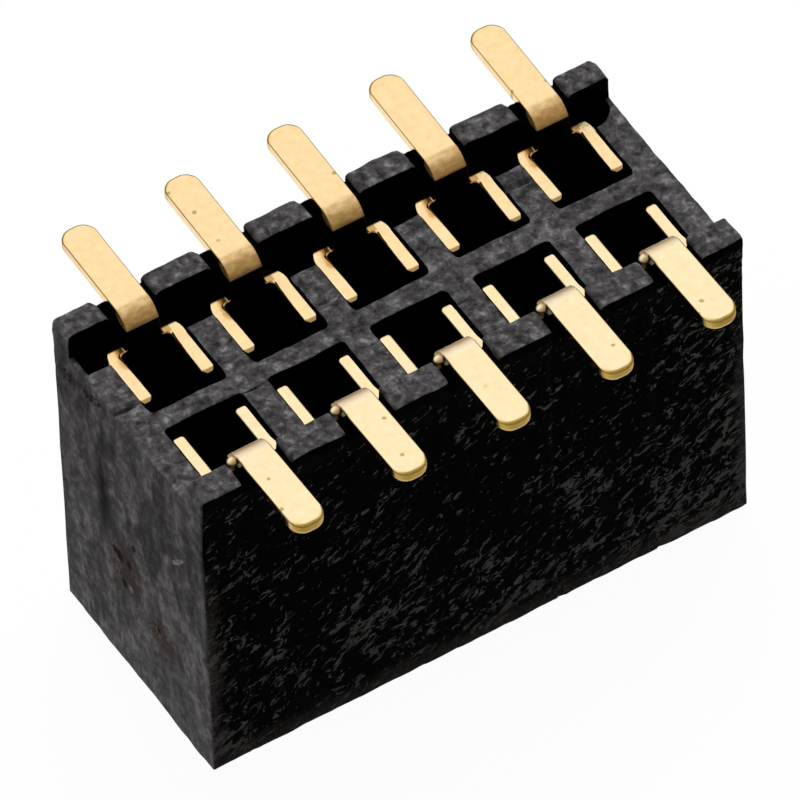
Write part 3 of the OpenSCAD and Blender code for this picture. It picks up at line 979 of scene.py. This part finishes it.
def make_housing(textured, gloss_and_shade):
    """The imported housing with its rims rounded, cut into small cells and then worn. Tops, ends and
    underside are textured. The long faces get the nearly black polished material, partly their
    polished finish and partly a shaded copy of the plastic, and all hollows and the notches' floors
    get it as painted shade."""
    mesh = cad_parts["housing"].data.copy()
    work = bmesh.new()
    work.from_mesh(mesh)
    bmesh.ops.scale(work, vec=(1 / MM, 1 / MM, 1 / MM), verts=work.verts)
    bmesh.ops.remove_doubles(work, verts=work.verts, dist=0.0005)
    bmesh.ops.dissolve_limit(work, angle_limit=math.radians(1), verts=work.verts, edges=work.edges)
    sharp = [e for e in work.edges
             if len(e.link_faces) == 2 and e.calc_face_angle() > math.radians(SHARP_ANGLE)
             and max(v.co.z for v in e.verts) > SHARP_Z]
    bmesh.ops.bevel(work, geom=sharp, offset=RIM_R, offset_type="OFFSET", segments=2, profile=0.5,
                    affect="EDGES", clamp_overlap=False)
    bmesh.ops.triangulate(work, faces=work.faces)
    work.to_mesh(mesh)
    work.free()
    cut(mesh, housing_cuts())
    x, z = vectors(mesh.polygons, "center").T[[0, 2]]
    nx, nz = vectors(mesh.polygons, "normal").T[[0, 2]]
    is_notch = (z > NOTCH_BAND[0]) & (z < NOTCH_BAND[1])
    is_top = (nz > FACING) & (z > TOP_FROM_Z) & ~is_notch
    is_end = (np.abs(nx) > FACING) & (np.abs(x) > END_FROM_X)
    # The notches' floors, the long faces and all hollows get the nearly black material: painted shade in
    # the hollows and on the notches' floors, partly real finish and partly a shaded copy on the long faces
    dull = is_top | is_end | (nz < -FACING)
    mesh.vertices.foreach_set("co", (wear_housing(vectors(mesh.vertices, "co")) * MM).ravel())
    mesh.materials.clear()
    mesh.materials.append(textured)
    mesh.materials.append(gloss_and_shade)
    mesh.polygons.foreach_set("material_index", np.where(dull, 0, 1).astype(np.int32))
    mesh.update()
    mesh.shade_smooth()
    mesh.set_sharp_from_angle(angle=math.radians(SMOOTH_ANGLE))
    piece = bpy.data.objects.new("moulded_housing", mesh)
    scene.collection.objects.link(piece)
    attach(piece, "root")
    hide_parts("housing")


# Marks on the left end: their colour, how much of it shows between the speckles, and places
# (Y, Z), half sizes and lean in degrees. Rusty dust, clefts under the rim and pits painted black
# as painted shade of hollows that the mesh doesn't have, and pale chips
END_MARKS = [
    ("#3a2c25", 0.35, [((0.22, 1.66), (0.42, 0.50), 0), ((-0.50, 1.22), (0.38, 0.26), 0)]),
    # Clefts and pits: black patches painted as the shade of hollows that the mesh doesn't have
    ("#0a0908", 0.0, [((1.25, 3.80), (0.32, 0.11), -12), ((0.75, 3.90), (0.36, 0.08), -20)]),
    ("#020202", 1.0, [((0.30, 1.77), (0.09, 0.11), 0), ((0.11, 1.79), (0.07, 0.08), 0),
                      ((0.22, 1.40), (0.07, 0.09), 0), ((0.40, 1.78), (0.06, 0.08), 0),
                      ((-0.02, 2.20), (0.05, 0.06), 0), ((-0.46, 1.30), (0.05, 0.06), 0)]),
    ("#8f8b87", 0.3, [((0.10, 1.42), (0.06, 0.07), 0), ((-0.96, 2.94), (0.26, 0.040), 132)]),
]
# Darker stretch of the left end, by place and half sizes
END_BAND = ((0.58, 2.75), (0.16, 1.3), 0)
# Where the ends begin, and where the marks of the long sides do, below the notches
END_X = (HALF_L - 0.08, HALF_L - 0.03)
SIDE_Y = (HALF_W - 0.12, HALF_W - 0.08)
SIDE_Z = (NOTCH_Z - 0.03, NOTCH_Z - 0.08)
# Sizes of the patterns of the textured faces. The real spark-eroded grain is some 0.01 mm wide and
# is drawn coarser, so that it shows
GRAIN = (0.035, 0.035, 0.035)
PATCH = (0.11, 0.11, 0.13)
STREAK = (0.09, 0.09, 0.9)
CLOUD = (0.40, 0.40, 0.75)
SPECKLE = (0.05, 0.05, 0.05)
GRAIN_H = 0.012
# Slope of the glass fibres on the long sides, and sizes of the patterns there. Real fibres are
# 0.2 mm long and 0.01 mm thick, and are drawn thicker, so that they show
# The fibres' pale strokes are partly their own colour and partly painted glints
FIBRE_SLOPE = 33.0
FIBRE = (0.24, 0.12, 0.12)
FLAKE = (0.15, 0.08, 0.08)
FIBRE_CROWD = (0.8, 0.8, 0.8)
SKIN_EDGE = (0.12, 0.12, 0.12)
SKIN_GRAIN = (0.04, 0.04, 0.04)
FIBRE_H = 0.006


def spot_at(y, z, middle, sizes, lean):
    """1 at a place (Y, Z) and falling evenly to 0 at the half sizes round it, of which the first
    leans up from Y: the root of the sum of the squares of both distances over their sizes."""
    cosine = math.cos(math.radians(lean))
    sine = math.sin(math.radians(lean))
    along = (y - middle[0]) * (cosine / sizes[0]) + (z - middle[1]) * (sine / sizes[0])
    across = (z - middle[1]) * (cosine / sizes[1]) - (y - middle[0]) * (sine / sizes[1])
    return (1.0 - distance(along, across)).math("MAXIMUM", 0.0)


def moulded_texture():
    """Glass-filled liquid crystal polymer off a spark-eroded mould: dull dark grey, finely mottled,
    with faint flow streaks up the ends. The ends are paler low down and darker high up, a painted
    light and shade, and the left one is clouded and marked."""
    material, tree, shader = new_material("glass-filled moulding, dull")
    x, y, z = place_mm(tree)
    grain = noise(tree, GRAIN, detail=3, roughness=0.6)
    patch = noise(tree, PATCH, detail=3, roughness=0.6, distortion=0.4)
    streak = noise(tree, STREAK, detail=3, distortion=0.5)
    end = abs(x).spread(*END_X)
    left_end = end * x.spread(0.1, -0.1)
    value = grain * 0.18 + patch * 0.62 + streak * 0.20
    # Painted light: the ends' mottle is pulled towards a paler grey, and below they darken with height, so
    # the end faces are paler low down
    value = add(tree, "Mix", i0=end * 0.35, i2=value, i3=0.68)
    tint = add(tree, "ValToRGB", Fac=value, stops=[(0.36, "#252324"), (0.46, "#403e3f"),
                                                   (0.55, "#575556"), (0.66, "#858284")])
    cloud = noise(tree, CLOUD, detail=3, distortion=0.5)
    # Painted shade: the ends darken with height; the cloud adds blotches of real tone
    dark = z.spread(0.6, 2.6, 0.0, 0.22) + cloud.spread(0.42, 0.60, -0.10, 0.40)
    dark = dark + spot_at(y, z, *END_BAND) * left_end * 0.60
    tint = (end * dark).blend(tint, "#0a0908")
    speckle = noise(tree, SPECKLE, detail=3).spread(0.44, 0.56)
    for colour, floor, marks in END_MARKS:
        rough = speckle.math("MAXIMUM", floor)
        for mark in marks:
            spot = spot_at(y, z, *mark).spread(0.0, 0.5) * left_end
            tint = (spot * rough).blend(tint, colour)
    bump = add(tree, "Bump", Strength=0.6, Distance=GRAIN_H * MM, Height=value)
    set_inputs(shader, Base_Color=tint, Roughness=0.75, Specular_IOR_Level=0.05, Normal=bump)
    return material


def moulded_gloss_and_shade():
    """The same polymer off polished mould faces, with painted shade: nearly black, partly its polished
    finish and partly a shaded copy of the dull material, and painted shade in all hollows and on the
    notches' floors. Short pale glass fibres lie at the surface of the long sides, their glints painted
    in as pale strokes, thicker low down and towards both ends and weaker on the rear side, and the
    long sides are paler grey along the base and near the ends."""
    material, tree, shader = new_material("glass-filled moulding, polished and painted shade")
    x, y, z = place_mm(tree)
    outside = abs(y).spread(*SIDE_Y) * z.spread(*SIDE_Z)
    lean = (0, math.radians(FIBRE_SLOPE), 0)
    curve = noise(tree, FIBRE, turn=lean, detail=1.0, distortion=1.0)
    line = abs(curve - 0.5).spread(0.042, 0.010)
    patch = noise(tree, FLAKE, turn=lean, detail=2.5, distortion=0.4)
    wide = noise(tree, FIBRE_CROWD, detail=1)
    near_ends = x.spread(1.6, 3.3) * 0.07 + x.spread(-2.2, -3.3) * 0.04
    level = z.spread(3.2, 0.2) * 0.10 + near_ends + (wide - 0.5) * 0.34
    level = patch + level + y.spread(*ROWS, 0.0, -0.09)
    # Pale strokes of the fibres, their glints painted in as colour
    strokes = line * level.spread(0.55, 0.64)
    marks = highest([level.spread(0.70, 0.76) * 0.7, strokes])
    marks = marks * outside * y.spread(*ROWS, 1.0, 0.3)

    # Paler grey along the base and near the ends of the long sides
    ragged = (noise(tree, SKIN_EDGE, detail=3) - 0.5) * 0.5
    base = highest([(z + ragged).spread(0.34, 0.08, 0.0, 0.7), z.spread(0.10, 0.05)])
    edge = (abs(x) + ragged).spread(HALF_L - 0.24, HALF_L - 0.04) * z.spread(3.6, 2.2)
    fine = noise(tree, SKIN_GRAIN, detail=3).spread(0.35, 0.65, 0.35, 1.0)
    skin = highest([base, edge]) * fine * outside
    # Nearly black: partly the polished finish, partly painted shade
    tint = add(tree, "ValToRGB", Fac=marks, stops=[(0.0, "#040404"), (1.0, "#9a9794")])
    tint = (skin * 0.8).blend(tint, "#7a7571")
    bump = add(tree, "Bump", Strength=0.5, Distance=FIBRE_H * MM, Height=marks + skin)
    set_inputs(shader, Base_Color=tint, Roughness=0.60, Specular_IOR_Level=0.005, Normal=bump)
    return material


make_housing(moulded_texture(), moulded_gloss_and_shade())
